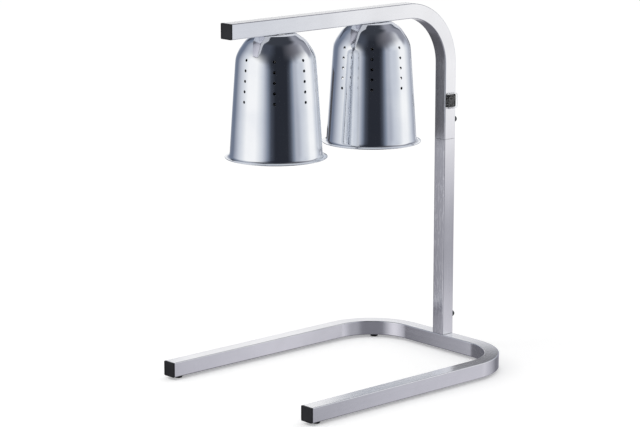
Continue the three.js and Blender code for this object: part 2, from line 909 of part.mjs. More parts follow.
function branchLead(side, x, endX, endZ) {
  const y = -lampReaches[side];
  const reach = spliceReach;
  const nippleX = Math.sign(x) * leadSideInNipple;
  return lead(
    [
      [x, y + reach, armCentre],
      [(x + nippleX) / 2, y + reach / 2, armCentre],
      [nippleX, y + reach / 8, armCentre - tubeHalf / 4],
      [nippleX, y, armUnderside + nippleTop],
      [nippleX, y, armUnderside + nippleFoot],
      [nippleX, y, armUnderside + chamberTop - leadRadius],
      [endX, y, armUnderside + (chamberTop + contactHeadTop) / 2 - leadRadius],
      [endX, y, armUnderside + endZ],
    ],
    leadRadius,
    branchSteps,
  );
}

function splice(side, x) {
  const y = -lampReaches[side] + spliceReach;
  return rod(spliceRadius, y - spliceLength / 2, y + spliceLength / 2, leadSides).translate(x, 0, armCentre);
}

function harness(x, start, startX, endX, endZ) {
  const parts = ["rear", "front"].flatMap((side) => [
    branchLead(side, x, endX, endZ),
    splice(side, x),
  ]);
  return join(longLead(x, start, startX), ...parts);
}

const liveStart = terminalTopZ + seatGap;
const wireCapFoot = inletZ + wireCapRise;
const neutralStart = wireCapFoot + wireCapEnd + seatGap;
const leadEndZ = contactHeadTop + seatGap;

const wireCap = () =>
  turnedUpright([
    [0, wireCapFoot],
    [wireCapRadius, wireCapFoot],
    [wireCapRadius - seatGap, wireCapFoot + wireCapLength],
    [leadRadius + seatGap, wireCapFoot + wireCapLength],
    [leadRadius + seatGap, wireCapFoot + wireCapEnd],
    [0, wireCapFoot + wireCapEnd],
  ]);

// The whole stand, in the column's frame

const postHole = clampHole(clampHeight);
const sleeveHole = clampHole(sleeveDepth + clampHeight);
const feet = Object.entries(footPlaces).map(([name, [x, y]]) =>
  piece(name, foot(), finishes.blackRubber, [x, y, footHeight]),
);
const nutY = tubeHalf + nutFace;
const nutAt = (name, height) =>
  piece(name, hexNut(nutFlats, clampHoleRadius, nutThickness), finishes.zincSteel, [0, nutY, height]);
const screwAt = (name, height) =>
  piece(name, clampScrew(), finishes.darkSteel, [0, tubeHalf, height]);

const base = assembly([0, 0, 0], [
  piece("base_frame", baseFrame(), finishes.satinTube, [0, 0, footHeight + tubeHalf]),
  piece("base_cap_left", endCap(), finishes.blackPlastic, [-legX, legEndY, footHeight + tubeHalf]),
  piece("base_cap_right", endCap(), finishes.blackPlastic, [legX, legEndY, footHeight + tubeHalf]),
  ...feet,
  piece("column_post", cut(innerTube(postHeight), postHole), finishes.innerTube, [0, 0, baseTop]),
  nutAt("post_nut", baseTop + clampHeight),
]);

const column = assembly([0, 0, 0], [
  piece("lower_column", lowerColumn(), finishes.satinTube, [0, 0, baseTop + seatGap]),
  piece(
    "column_sleeve",
    cut(innerTube(2 * sleeveDepth), sleeveHole),
    finishes.innerTube,
    [0, 0, seamHeight - sleeveDepth],
  ),
  nutAt("sleeve_nut", seamHeight + clampHeight),
  screwAt("post_screw", baseTop + clampHeight),
  screwAt("sleeve_screw", seamHeight + clampHeight),
]);

const arm = assembly([0, 0, 0], [
  piece("arm_tube", armTube(), finishes.satinTube),
  piece("arm_cap", endCap(), finishes.blackPlastic, [0, armEndY, armCentre]),
  piece("cable_inlet", inletBushing(), finishes.blackPlastic, [0, tubeHalf, inletZ]),
  piece("wire_cap", wireCap(), finishes.whiteLead, [leadSideStep, 0, 0]),
  piece(
    "live_lead",
    harness(-leadSideStep, liveStart, terminalX, -leadSideInNipple, leadEndZ),
    finishes.redLead,
  ),
  piece(
    "neutral_lead",
    harness(leadSideStep, neutralStart, leadSideStep, tabReach, leadEndZ),
    finishes.whiteLead,
  ),
]);

const powerSwitch = assembly([tubeHalf, 0, switchZ], [
  piece("switch_housing", switchHousing(), finishes.blackPlastic),
  piece("switch_rocker", rocker(), finishes.blackPlastic, [pivotHeight, 0, 0]),
  piece("switch_boot", boot(), finishes.clearRubber),
  piece("switch_terminal_upper", terminal(1), finishes.brass, [0, 0, terminalSpacing / 2]),
  piece("switch_terminal_lower", terminal(-1), finishes.brass, [0, 0, -terminalSpacing / 2]),
]);

const frontY = Math.min(-armReach, legFrontY);
const rearY = tubeHalf + knobLength;
const stand = assembly([0, -(frontY + rearY) / 2, 0], [
  base,
  column,
  arm,
  powerSwitch,
  lamp("front"),
  lamp("rear"),
]);

export default stand;
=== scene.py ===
"""Counter-top food warmer: two heat lamps in spun metal shades on a bent square-tube stand.

Metres, +Z up. The open end of the base points to -Y and the column stands at +Y.
"""
import math

import bpy
from mathutils import Matrix, Vector


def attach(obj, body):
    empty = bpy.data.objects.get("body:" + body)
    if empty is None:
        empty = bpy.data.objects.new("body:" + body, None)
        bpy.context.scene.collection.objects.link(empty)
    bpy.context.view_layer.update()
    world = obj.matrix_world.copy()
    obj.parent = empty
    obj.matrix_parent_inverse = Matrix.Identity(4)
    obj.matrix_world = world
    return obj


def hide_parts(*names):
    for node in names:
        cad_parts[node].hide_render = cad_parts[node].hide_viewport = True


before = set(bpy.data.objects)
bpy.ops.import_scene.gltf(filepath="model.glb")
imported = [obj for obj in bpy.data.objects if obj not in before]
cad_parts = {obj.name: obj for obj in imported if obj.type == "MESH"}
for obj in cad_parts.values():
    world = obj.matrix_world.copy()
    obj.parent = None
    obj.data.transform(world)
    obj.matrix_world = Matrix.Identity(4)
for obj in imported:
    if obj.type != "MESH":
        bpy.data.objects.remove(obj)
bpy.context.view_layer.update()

UP = Vector((0, 0, 1))
ALONG_X = Vector((1, 0, 0))
ALONG_Y = Vector((0, 1, 0))
TURN = 2 * math.pi
NEARLY_ALONG = 0.9  # the share of a direction above which it counts as running along an axis

# Tube and stand
tube_size = 0.0254
tube_half = tube_size / 2
tube_wall = 0.0015
tube_edge = 0.0017
foot_height = 0.005
base_centre_z = foot_height + tube_half
leg_x = 0.1738
leg_front_y = -0.24255
column_y = 0.23195
base_bend_x = 0.0796
base_bend_y = 0.13775
base_bend_radius = 0.0942
seam_z = 0.3785
arm_centre_z = 0.6084
arm_underside_z = arm_centre_z - tube_half
arm_front_y = -0.25885
arm_bend_y = 0.13285
arm_bend_z = 0.5093
arm_bend_radius = 0.0991
cap_head = 0.0028
seat_gap = 0.0003
bend_steps = 28
foot_places = {
    "front_left": (-leg_x, -0.22495), "front_right": (leg_x, -0.22495),
    "rear_left": (-0.14621, 0.20436), "rear_right": (0.14621, 0.20436),
}

# Lamps: the places of their axes along Y
lamp_places = {"front": -0.15495, "rear": 0.05705}
crown_z = arm_underside_z - seat_gap

# Switch, cable inlet and screws
switch_z = 0.4458
inlet_z = 0.485
column_side_x = tube_half
column_back_y = column_y + tube_half
screw_heights = {"lower_screw": 0.0617, "upper_screw": 0.4098}


# Modelling

def start_fresh():
    """Leaves edit mode and deselects all"""
    if bpy.context.object and bpy.context.object.mode != "OBJECT":
        bpy.ops.object.mode_set(mode="OBJECT")
    bpy.ops.object.select_all(action="DESELECT")


def make_active(piece):
    """Leaves edit mode and makes a piece the only one selected"""
    start_fresh()
    bpy.context.view_layer.objects.active = piece
    piece.select_set(True)


def drawn(name, points):
    """A line of points, drawn one after the other, left in edit mode"""
    start_fresh()
    bpy.ops.mesh.primitive_plane_add(size=0.001)
    piece = bpy.context.active_object
    piece.name = name
    bpy.ops.object.mode_set(mode="EDIT")
    bpy.ops.mesh.select_mode(type="VERT")
    bpy.ops.mesh.select_all(action="SELECT")
    bpy.ops.mesh.merge(type="CENTER")
    bpy.ops.transform.translate(value=points[0])
    for before, after in zip(points, points[1:]):
        step = Vector(after) - Vector(before)
        bpy.ops.mesh.extrude_region_move(TRANSFORM_OT_translate={"value": step})
    return piece


def make_block(name, size, centre):
    """A block to start a piece from"""
    start_fresh()
    bpy.ops.mesh.primitive_cube_add(size=1, location=centre, scale=size)
    piece = bpy.context.active_object
    piece.name = name
    bpy.ops.object.transform_apply(location=True, rotation=True, scale=True)
    return piece


def close_up(piece, weld=1e-6):
    """Merges doubles and turns the faces outwards, in edit mode"""
    bpy.ops.mesh.select_all(action="SELECT")
    bpy.ops.mesh.remove_doubles(threshold=weld)
    bpy.ops.mesh.normals_make_consistent(inside=False)
    bpy.ops.object.mode_set(mode="OBJECT")
    return piece


def applied(piece, kind, **settings):
    """Adds a modifier and applies it"""
    make_active(piece)
    bpy.ops.object.modifier_add(type=kind)
    modifier = piece.modifiers[-1]
    for key, value in settings.items():
        setattr(modifier, key, value)
    bpy.ops.object.modifier_apply(modifier=modifier.name)
    return piece


def rounded(piece, width, segments, angle):
    """Rounds the edges that are sharper than an angle in degrees"""
    limit = {"limit_method": "ANGLE", "angle_limit": math.radians(angle)}
    return applied(piece, "BEVEL", width=width, segments=segments, **limit)


def moved(piece, shift):
    """Moves a piece's mesh, and leaves its origin in place"""
    piece.data.transform(Matrix.Translation(shift))
    return piece


def smooth(piece, angle=35, weighted=True):
    """Smooth shading up to an angle in degrees, with flat faces kept flat by weighted normals"""
    make_active(piece)
    bpy.ops.object.shade_smooth_by_angle(angle=math.radians(angle))
    if weighted:
        applied(piece, "WEIGHTED_NORMAL", keep_sharp=True, weight=100)
    return piece


def edit(piece):
    """Enters edit mode with nothing selected"""
    make_active(piece)
    bpy.ops.object.mode_set(mode="EDIT")
    bpy.ops.mesh.select_all(action="DESELECT")


def pick(piece, chosen, part="polygons"):
    """Selects the faces or edges for which chosen(element) holds, in edit mode"""
    modes = {"polygons": "FACE", "edges": "EDGE"}
    bpy.ops.mesh.select_all(action="DESELECT")
    bpy.ops.mesh.select_mode(type=modes[part])
    bpy.ops.object.mode_set(mode="OBJECT")
    for element in getattr(piece.data, part):
        element.select = bool(chosen(element))
    bpy.ops.object.mode_set(mode="EDIT")


def edge_middle(piece, edge):
    a, b = (piece.data.vertices[i].co for i in edge.vertices)
    return (a + b) / 2


def edge_run(piece, edge):
    a, b = (piece.data.vertices[i].co for i in edge.vertices)
    return (b - a).normalized()


def smoothed(points, steps):
    """A smooth profile through (radius, height) points, as a chain of cubic pieces"""
    points = [Vector((radius, height, 0)) for radius, height in points]
    line = [points[0]]
    for i in range(len(points) - 1):
        p0 = points[max(i - 1, 0)]
        p1, p2 = points[i], points[i + 1]
        p3 = points[min(i + 2, len(points) - 1)]
        for k in range(1, steps + 1):
            t = k / steps
            line.append(
                0.5 * (2 * p1 + (p2 - p0) * t + (2 * p0 - 5 * p1 + 4 * p2 - p3) * t ** 2
                       + (3 * p1 - p0 - 3 * p2 + p3) * t ** 3)
            )
    return [(point.x, point.y) for point in line]


def rounded_corner(centre, radius, start, end, steps=5):
    """Points of an arc in a profile, from the start to the end angle in degrees"""
    angles = [math.radians(start + (end - start) * k / steps) for k in range(steps + 1)]
    return [(centre[0] + radius * math.cos(a), centre[1] + radius * math.sin(a)) for a in angles]


def spun(name, profile, centre, axis=UP, steps=64):
    """A turned piece: a profile of (radius, height) points spun about an upright axis or one along Y"""
    centre = Vector(centre)
    points = [centre + ALONG_X * radius + axis * height for radius, height in profile]
    piece = drawn(name, points)
    bpy.ops.mesh.select_all(action="SELECT")
    bpy.ops.mesh.spin(steps=steps, angle=TURN, center=centre, axis=axis)
    return close_up(piece)


def tube_section(name, place, facing):
    """The rounded outline of the square tube at one end, left in edit mode with its edges selected"""
    start_fresh()
    bpy.ops.mesh.primitive_plane_add(size=tube_size, location=place, rotation=facing)
    piece = bpy.context.active_object
    piece.name = name
    bpy.ops.object.transform_apply(location=True, rotation=True, scale=True)
    bpy.ops.object.mode_set(mode="EDIT")
    bpy.ops.mesh.select_mode(type="VERT")
    bpy.ops.mesh.select_all(action="SELECT")
    bpy.ops.mesh.bevel(offset=tube_edge, segments=5, affect="VERTICES")
    bpy.ops.mesh.delete(type="ONLY_FACE")
    bpy.ops.mesh.select_all(action="SELECT")
    return piece


def pull(x=0.0, y=0.0, z=0.0):
    """Extrudes what is selected straight on"""
    bpy.ops.mesh.extrude_region_move(TRANSFORM_OT_translate={"value": (x, y, z)})


def bend(centre, axis):
    """Extrudes the selected outline round a quarter bend, clockwise about the axis"""
    bpy.ops.mesh.spin(steps=bend_steps, angle=math.pi / 2, center=centre, axis=axis)


def walled(piece, wall):
    """Gives a tube its wall, with its cut ends slightly rounded"""
    close_up(piece)
    applied(piece, "SOLIDIFY", thickness=wall, offset=-1, use_even_offset=True)
    return rounded(piece, 0.0003, 2, 60)


def grain_map(piece, along, across_axis):
    """A UV map in metres that follows the tube: along its run, and across its faces"""
    layer = piece.data.uv_layers.new(name="grain")
    side = "xyz".index(across_axis)
    facing_share = 0.7
    for face in piece.data.polygons:
        flat = abs(face.normal[side]) > facing_share
        for corner in face.loop_indices:
            place = piece.data.vertices[piece.data.loops[corner].vertex_index].co
            run, offset = along(place)
            layer.data[corner].uv = (run, offset if flat else place[side] + tube_size)
    return piece


def bent_run(first, second, bend_first, bend_second, radius):
    """Length along a bent tube, and offset from its centre line, in the plane of the bend"""
    if second <= bend_second:
        return second, first - bend_first - radius
    if first <= bend_first:
        return bend_second + radius * math.pi / 2 + bend_first - first, second - bend_second - radius
    angle = math.atan2(second - bend_second, first - bend_first)
    reach = math.hypot(first - bend_first, second - bend_second)
    return bend_second + radius * angle, reach - radius


# Materials

bump_depth = 0.0002


class Signal:
    """The output of a node, which can be used in sums"""

    def __init__(self, finish, socket):
        self.finish = finish
        self.socket = socket

    def math(self, operation, *values):
        return self.finish.node("ShaderNodeMath", {"operation": operation}, dict(enumerate(values)))

    def __add__(self, other):
        return self.math("ADD", self, other)

    def __sub__(self, other):
        return self.math("SUBTRACT", self, other)

    def __rsub__(self, other):
        return self.math("SUBTRACT", other, self)

    def __mul__(self, other):
        return self.math("MULTIPLY", self, other)

    def __truediv__(self, other):
        return self.math("DIVIDE", self, other)

    __radd__ = __add__
    __rmul__ = __mul__

    def between(self, low, high):
        """0 below low, 1 above high and a smooth change between them"""
        values = {"Value": self, "From Min": low, "From Max": high}
        return self.finish.node("ShaderNodeMapRange", {"interpolation_type": "SMOOTHSTEP"}, values)

    def maximum(self, other):
        return self.math("MAXIMUM", self, other)


class Finish:
    """The node tree of a material or the world, filled by expressions"""

    def __init__(self, owner):
        self.owner = owner
        owner.use_nodes = True
        self.tree = owner.node_tree
        self.tree.nodes.clear()

    def node(self, kind, settings=None, values=None, output=0):
        """Any node: its settings, then the values or links of its sockets"""
        made = self.tree.nodes.new(kind)
        for key, value in (settings or {}).items():
            if key == "stops":
                self.set_stops(made.color_ramp, value)
            else:
                setattr(made, key, value)
        for key, value in (values or {}).items():
            self.feed(made.inputs[key], value)
        return Signal(self, made.outputs[output])

    def feed(self, socket, value):
        if isinstance(value, Signal):
            self.tree.links.new(value.socket, socket)
        elif socket.type == "RGBA" and len(value) == 3:
            socket.default_value = (*value, 1)
        else:
            socket.default_value = value

    @staticmethod
    def set_stops(ramp, stops):
        elements = ramp.elements
        elements.remove(elements[1])
        for k, (position, colour) in enumerate(stops):
            element = elements[0] if k == 0 else elements.new(position)
            element.position = position
            element.color = (*colour, 1)

    def place(self):
        """Object coordinates"""
        return self.node("ShaderNodeTexCoord", output="Object")

    def grain(self):
        """The piece's own UV map along its grain"""
        return self.node("ShaderNodeUVMap", {"uv_map": "grain"})

    def stretched(self, place, scale):
        return self.node("ShaderNodeMapping", values={"Vector": place, "Scale": scale})

    def split(self, place, axis):
        return self.node("ShaderNodeSeparateXYZ", values={"Vector": place}, output="XYZ".index(axis))

    def noise(self, place, scale, detail=2.0, roughness=0.5):
        values = {"Vector": place, "Scale": scale, "Detail": detail, "Roughness": roughness}
        return self.node("ShaderNodeTexNoise", values=values)

    def mixed(self, factor, first, second):
        """A colour between two colours"""
        values = {0: factor, 6: first, 7: second}
        return self.node("ShaderNodeMix", {"data_type": "RGBA"}, values, output=2)

    def window(self, value, first, last, edge):
        """1 between two limits and 0 outside them, with soft edges"""
        return value.between(first, first + edge) * (1 - value.between(last - edge, last))

    def ramp(self, value, stops):
        """A colour that runs through stops of (position, colour)"""
        return self.node("ShaderNodeValToRGB", {"stops": stops}, {"Fac": value})

    def bump(self, height, strength):
        values = {"Height": height, "Strength": strength, "Distance": bump_depth}
        return self.node("ShaderNodeBump", values=values)

    def surface(self, **sockets):
        """A Principled shader, with sockets named in lower case"""
        values = {key.replace("_", " ").title().replace("Ior", "IOR"): v for key, v in sockets.items()}
        return self.node("ShaderNodeBsdfPrincipled", values=values)

    def output(self, shader, kind="ShaderNodeOutputMaterial"):
        made = self.tree.nodes.new(kind)
        self.tree.links.new(shader.socket, made.inputs["Surface"])
        return self.owner


def material(name):
    return Finish(bpy.data.materials.new(name))


def satin_tube(name, mottle, scratched_sheen_below_y=1.0):
    """Satin-polished steel tube: fine lines along it, and light scratch flecks, partly a painted sheen,
    where Y is below a limit
    """
    edge = 0.0005
    made = material(name)
    grain = made.grain()
    lines = made.noise(made.stretched(grain, (30, 2600, 1)), 1.0, 3)
    bands = made.noise(made.stretched(grain, (5, 190, 1)), 1.0, 2)
    cloud = made.noise(made.place(), 14, 3)
    worms = made.noise(made.stretched(grain, (60, 260, 1)), 1.0, 1)
    scratched_sheen = 1 - made.split(made.place(), "Y").between(scratched_sheen_below_y, scratched_sheen_below_y + edge)
    # Light scratch flecks; where strong, as on the lower column's front face, they lighten it, a painted
    # sheen
    marks = worms.between(0.5, 0.62) * cloud.between(0.35, 0.55) * scratched_sheen * mottle
    tone = cloud.between(0.3, 0.7) * 0.5 + bands * 0.5
    colour = made.mixed(tone, (0.80, 0.80, 0.825), (0.90, 0.90, 0.925))
    colour = made.mixed(marks, colour, (0.98, 0.98, 1.0))
    rough = 0.12 + 0.08 * bands + 0.05 * lines + 0.08 * marks
    bump = made.bump(lines * 0.6 + bands * 0.4, 0.1)
    return made.output(made.surface(base_color=colour, metallic=1.0, roughness=rough, normal=bump))


def spun_metal():
    """Bright spun aluminium, with the fine rings that the spinning roller leaves"""
    made = material("spun_shade")
    place = made.place()
    rings = made.noise(made.stretched(place, (6, 6, 1900)), 1.0, 2)
    broad = made.noise(made.stretched(place, (4, 4, 260)), 1.0, 2)
    haze = made.noise(place, 22, 3)
    colour = made.mixed(haze.between(0.3, 0.7), (0.84, 0.86, 0.90), (0.90, 0.915, 0.94))
    rough = 0.05 + 0.03 * broad + 0.03 * haze
    bump = made.bump(rings * 0.5 + broad * 0.5, 0.05)
    return made.output(made.surface(base_color=colour, metallic=1.0, roughness=rough, normal=bump))


def moulded(name, dark, light, rough, grain=900.0, strength=0.12, gloss=0.5):
    """Moulded plastic or rubber with a fine texture"""
    made = material(name)
    place = made.place()
    texture = made.noise(place, grain, 2)
    wear = made.noise(place, 45, 3)
    colour = made.mixed(wear.between(0.35, 0.75), dark, light)
    roughness = rough + 0.12 * (texture - 0.5)
    bump = made.bump(texture, strength)
    return made.output(
        made.surface(base_color=colour, roughness=roughness, specular_ior_level=gloss, normal=bump)
    )


def machined(name, dark, light, rough, grain=500.0):
    """Plain metal with faint machining marks and stains"""
    made = material(name)
    place = made.place()
    marks = made.noise(place, grain, 2)
    stain = made.noise(place, 60, 3)
    colour = made.mixed(stain.between(0.3, 0.75), dark, light)
    roughness = rough + 0.15 * (marks - 0.5)
    bump = made.bump(marks, 0.1)
    return made.output(made.surface(base_color=colour, metallic=1.0, roughness=roughness, normal=bump))


def glazed():
    """White glazed porcelain"""
    made = material("porcelain")
    place = made.place()
    specks = made.noise(place, 380, 2).between(0.62, 0.75)
    cloud = made.noise(place, 35, 2)
    base = made.mixed(cloud, (0.80, 0.78, 0.72), (0.86, 0.85, 0.80))
    colour = made.mixed(specks * 0.35, base, (0.45, 0.40, 0.33))
    return made.output(made.surface(base_color=colour, roughness=0.22 + 0.1 * cloud, coat_weight=0.5))


def soft_clear():
    """Clear silicone of the switch cover"""
    made = material("clear_boot")
    haze = made.noise(made.place(), 90, 2)
    colour = made.mixed(haze, (0.92, 0.925, 0.93), (0.97, 0.975, 0.98))
    return made.output(
        made.surface(
            base_color=colour, roughness=0.02 + 0.03 * haze, transmission_weight=1.0, ior=1.3,
            normal=made.bump(haze, 0.05),
        )
    )


def lamp_glass(mirror_foot):
    """Reflector bulb: frosted face, and a mirrored coating inside the sides and neck above mirror_foot"""
    half_edge = 0.0015
    made = material("bulb_glass")
    place = made.place()
    frost = made.noise(place, 700, 2)
    cloud = made.noise(place, 40, 2)
    face = made.surface(
        base_color=made.mixed(cloud, (0.86, 0.87, 0.88), (0.93, 0.93, 0.92)),
        roughness=0.3 + 0.15 * frost,
        transmission_weight=0.45,
        ior=1.45,
        normal=made.bump(frost, 0.15),
    )
    coating = made.surface(
        base_color=made.mixed(cloud, (0.78, 0.78, 0.78), (0.86, 0.86, 0.86)),
        metallic=1.0,
        roughness=0.16 + 0.06 * frost,
    )
    edge = made.split(place, "Z").between(mirror_foot - half_edge, mirror_foot + half_edge)
    both = made.node("ShaderNodeMixShader", values={0: edge, 1: face, 2: coating})
    return made.output(both)


def clear_glass():
    """Clear glass of the bulb's stem"""
    made = material("stem_glass")
    haze = made.noise(made.place(), 120, 2)
    return made.output(
        made.surface(
            base_color=made.mixed(haze, (0.88, 0.90, 0.90), (0.95, 0.96, 0.96)),
            roughness=0.04 + 0.05 * haze,
            transmission_weight=0.9,
            ior=1.5,
        )
    )


tube_finish = satin_tube("satin_tube", 0.1)
# The lower column's front face has strong light flecks: scratches in part, and a painted sheen that
# lightens that face
scratched_sheen_finish = satin_tube("scratched_sheen_tube", 1.0, column_y - tube_half + 0.0005)  # its front face only
shade_finish = spun_metal()
black_plastic = moulded("black_plastic", (0.008, 0.008, 0.010), (0.014, 0.014, 0.017), 0.4, gloss=0.28)
black_rubber = moulded("black_rubber", (0.007, 0.007, 0.008), (0.014, 0.014, 0.015), 0.7, 500, 0.3, 0.3)
red_lead = moulded("red_lead", (0.26, 0.02, 0.015), (0.36, 0.035, 0.025), 0.5)
white_lead = moulded("white_lead", (0.70, 0.68, 0.60), (0.80, 0.78, 0.72), 0.5)
inner_tube = machined("inner_tube", (0.36, 0.36, 0.38), (0.5, 0.5, 0.53), 0.42)
dark_screw = machined("dark_screw", (0.05, 0.056, 0.056), (0.085, 0.095, 0.092), 0.34)
zinc_steel = machined("zinc_steel", (0.5, 0.51, 0.53), (0.66, 0.67, 0.69), 0.33)
brass = machined("brass", (0.55, 0.38, 0.13), (0.70, 0.50, 0.20), 0.3)
tungsten = machined("tungsten", (0.10, 0.10, 0.10), (0.18, 0.18, 0.17), 0.42)
porcelain = glazed()
boot_silicone = soft_clear()
stem_glass = clear_glass()


def finished(piece, body, slot, finish, *nodes):
    """Gives a piece its body and material, and hides the CAD nodes that it stands for. The slot is not
    used.
    """
    piece.data.materials.clear()
    piece.data.materials.append(finish)
    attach(piece, body)
    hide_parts(*nodes)
    return piece


def copied(piece, name, shift=(0, 0, 0)):
    """A copy of a piece with its own mesh, moved"""
    make_active(piece)
    bpy.ops.object.duplicate()
    copy = bpy.context.active_object
    copy.name = name
    return moved(copy, shift)


# Stand

def make_base():
    """Base tube, bent twice, from the left leg round the back to the right leg"""
    piece = tube_section("base_tube", (-leg_x, leg_front_y, base_centre_z), (math.pi / 2, 0, 0))
    pull(y=base_bend_y - leg_front_y)
    bend((-base_bend_x, base_bend_y, base_centre_z), UP)
    pull(x=2 * base_bend_x)
    bend((base_bend_x, base_bend_y, base_centre_z), UP)
    pull(y=leg_front_y - base_bend_y)
    walled(piece, tube_wall)
    smooth(piece)
    grain_map(piece, lambda p: bent_run(abs(p.x), p.y, base_bend_x, base_bend_y, base_bend_radius), "z")
    return finished(piece, "stand", "satin_tube", tube_finish, "base_frame")


def make_arm():
    """Upper column and arm in one tube, bent once"""
    piece = tube_section("arm_and_upper_column", (0, column_y, seam_z + seat_gap), (0, 0, 0))
    pull(z=arm_bend_z - seam_z - seat_gap)
    bend((0, arm_bend_y, arm_bend_z), -ALONG_X)
    pull(y=arm_front_y + cap_head - arm_bend_y)
    walled(piece, tube_wall)
    smooth(piece)
    grain_map(piece, lambda p: bent_run(p.y, p.z, arm_bend_y, arm_bend_z, arm_bend_radius), "x")
    return finished(piece, "stand", "satin_tube", tube_finish, "arm_tube")


def make_lower_column():
    """Lower column, a straight tube that stands on the base"""
    foot = foot_height + tube_size + seat_gap
    piece = tube_section("lower_column_tube", (0, column_y, foot), (0, 0, 0))
    pull(z=seam_z - foot)
    walled(piece, tube_wall)
    smooth(piece)
    grain_map(piece, lambda p: (p.z, p.y - column_y), "x")
    # Its front face gets light flecks that are partly a painted sheen
    return finished(piece, "stand", "satin_tube", scratched_sheen_finish, "lower_column")


make_base()
make_arm()
make_lower_column()


def make_end_cap():
    """The arm's end cap: rounded rim, sunk panel and a plug that goes into the tube"""
    rim_width = 0.0018
    recess = 0.0007
    plug_depth = 0.009
    plug_inset = tube_wall + seat_gap
    corner_weld = 0.0003
    piece = make_block(
        "arm_end_cap", (tube_size, cap_head - seat_gap, tube_size), (0, -(cap_head + seat_gap) / 2, 0)
    )
    edit(piece)
    pick(piece, lambda e: abs(edge_run(piece, e).y) > NEARLY_ALONG, "edges")
    bpy.ops.mesh.bevel(offset=tube_edge, segments=6)
    pick(piece, lambda f: f.normal.y < -NEARLY_ALONG)
    bpy.ops.mesh.inset(thickness=rim_width)
    pull(y=recess)
    pick(piece, lambda f: f.normal.y > NEARLY_ALONG and f.center.y > -seat_gap - recess)
    bpy.ops.mesh.inset(thickness=plug_inset)
    pull(y=plug_depth + seat_gap)
    close_up(piece, corner_weld)
    rounded(piece, 0.00025, 3, 50)
    return moved(smooth(piece), (0, arm_front_y + cap_head, arm_centre_z))


arm_cap = make_end_cap()
base_cap_shift = (leg_x, leg_front_y - arm_front_y - cap_head, base_centre_z - arm_centre_z)
right_cap = copied(arm_cap, "base_end_cap_right", base_cap_shift)
left_cap = copied(arm_cap, "base_end_cap_left", (-leg_x, *base_cap_shift[1:]))
finished(arm_cap, "stand", "black_plastic", black_plastic, "arm_cap")
finished(right_cap, "stand", "black_plastic", black_plastic, "base_cap_right")
finished(left_cap, "stand", "black_plastic", black_plastic, "base_cap_left")


def make_foot(centre):
    """Turned rubber foot with a rounded rim and a barbed stem, standing on the floor"""
    radius = 0.0067
    edge = 0.0011
    top = foot_height - seat_gap
    hollow, hollow_depth = 0.0042, 0.0004
    stem = 0.0036
    barb = 0.0046
    tip, tip_length = 0.0026, 0.004
    catch = foot_height + tube_wall + seat_gap
    profile = [(0, hollow_depth), (hollow, hollow_depth), (hollow + 0.0006, 0)]
    profile += rounded_corner((radius - edge, edge), edge, -90, 0)
    profile += rounded_corner((radius - edge, top - edge), edge, 0, 90)
    profile += [(stem, top), (stem, catch), (barb, catch)]
    profile += [(tip, catch + tip_length), (0, catch + tip_length)]
    return smooth(spun("rubber_foot_front_left", profile, centre, steps=40), 30)


first_x, first_y = foot_places["front_left"]
first_foot = make_foot((first_x, first_y, 0))
for side in ("front_right", "rear_left", "rear_right"):
    x, y = foot_places[side]
    other_foot = copied(first_foot, "rubber_foot_" + side, (x - first_x, y - first_y, 0))
    finished(other_foot, "stand", "black_rubber", black_rubber, "foot_" + side)
finished(first_foot, "stand", "black_rubber", black_rubber, "foot_front_left")


def make_screw(name, node, height):
    """Clamping screw: smooth knob with a domed end, on a collar and a threaded shank"""
    shank, tip, thread_end = 0.0027, -0.0112, -0.0005
    thread_depth, pitch = 0.0004, 0.0008
    collar, collar_end, collar_edge = 0.0041, 0.0032, 0.0004
    knob, knob_edge, length = 0.0053, 0.0005, 0.0142
    dome, dome_steps = 0.005, 12
    profile = [(0, tip), (shank - thread_depth, tip)]
    for k in range(int((thread_end - tip) / pitch)):
        low = tip + thread_depth + k * pitch
        profile += [(shank, low), (shank - thread_depth, low + pitch / 2)]
    profile += [(shank, seat_gap), (collar, seat_gap), (collar, collar_end - collar_edge)]
    profile += [(knob - knob_edge, collar_end), (knob, collar_end + knob_edge)]
    for k in range(dome_steps):
        angle = k / dome_steps * math.pi / 2
        profile.append((knob * math.cos(angle), length - dome + dome * math.sin(angle)))
    profile.append((0, length))
    centre = (0, column_back_y, height)
    piece = spun(name, profile, centre, ALONG_Y, steps=48)
    return finished(smooth(piece, 32, False), name, "dark_screw", dark_screw, node)


make_screw("lower_screw", "post_screw", screw_heights["lower_screw"])
make_screw("upper_screw", "sleeve_screw", screw_heights["upper_screw"])


def make_inlet():
    """Turned bushing of the cable inlet, with a rounded flange and a catch behind the tube's wall"""
    bore, bore_edge = 0.0039, 0.0009
    flange_radius, flange, flange_edge = 0.008, 0.0024, 0.0012
    body, catch = 0.006, 0.0007
    behind = -tube_wall - seat_gap
    depth = behind - 0.003
    profile = rounded_corner((bore + bore_edge, flange - bore_edge), bore_edge, 180, 90)
    profile += rounded_corner((flange_radius - flange_edge, flange - flange_edge), flange_edge, 90, 0)
    profile += [(flange_radius, seat_gap), (body, seat_gap), (body, behind)]
    profile += [(body + catch, behind), (body, depth), (bore, depth)]
    profile.append(profile[0])
    piece = spun("cable_inlet_bushing", profile, (0, column_back_y, inlet_z), ALONG_Y, steps=48)
    return finished(smooth(piece, 30), "stand", "black_plastic", black_plastic, "cable_inlet")


make_inlet()


# Lamps: (radius, height) points, with heights from the crown or, for the bulb, from the arm's underside

shade_top = [(0.0053, 0), (0.018, 0), (0.0331, 0), (0.0345, -0.00005), (0.0350, -0.0002)]
shade_curve = [
    (0.0354, -0.0005), (0.0400, -0.0037), (0.0480, -0.0096), (0.0561, -0.0206), (0.0608, -0.0285),
    (0.0641, -0.0368), (0.0654, -0.0450), (0.0660, -0.0525),
]
skirt_foot = (0.0754, -0.1930)
lip_curve = [skirt_foot, (0.0762, -0.1957), (0.0782, -0.1977), (0.0808, -0.1987), (0.0830, -0.1991)]
lip_roll_centre = (0.0829, -0.1996)
lip_roll_radius = 0.0006


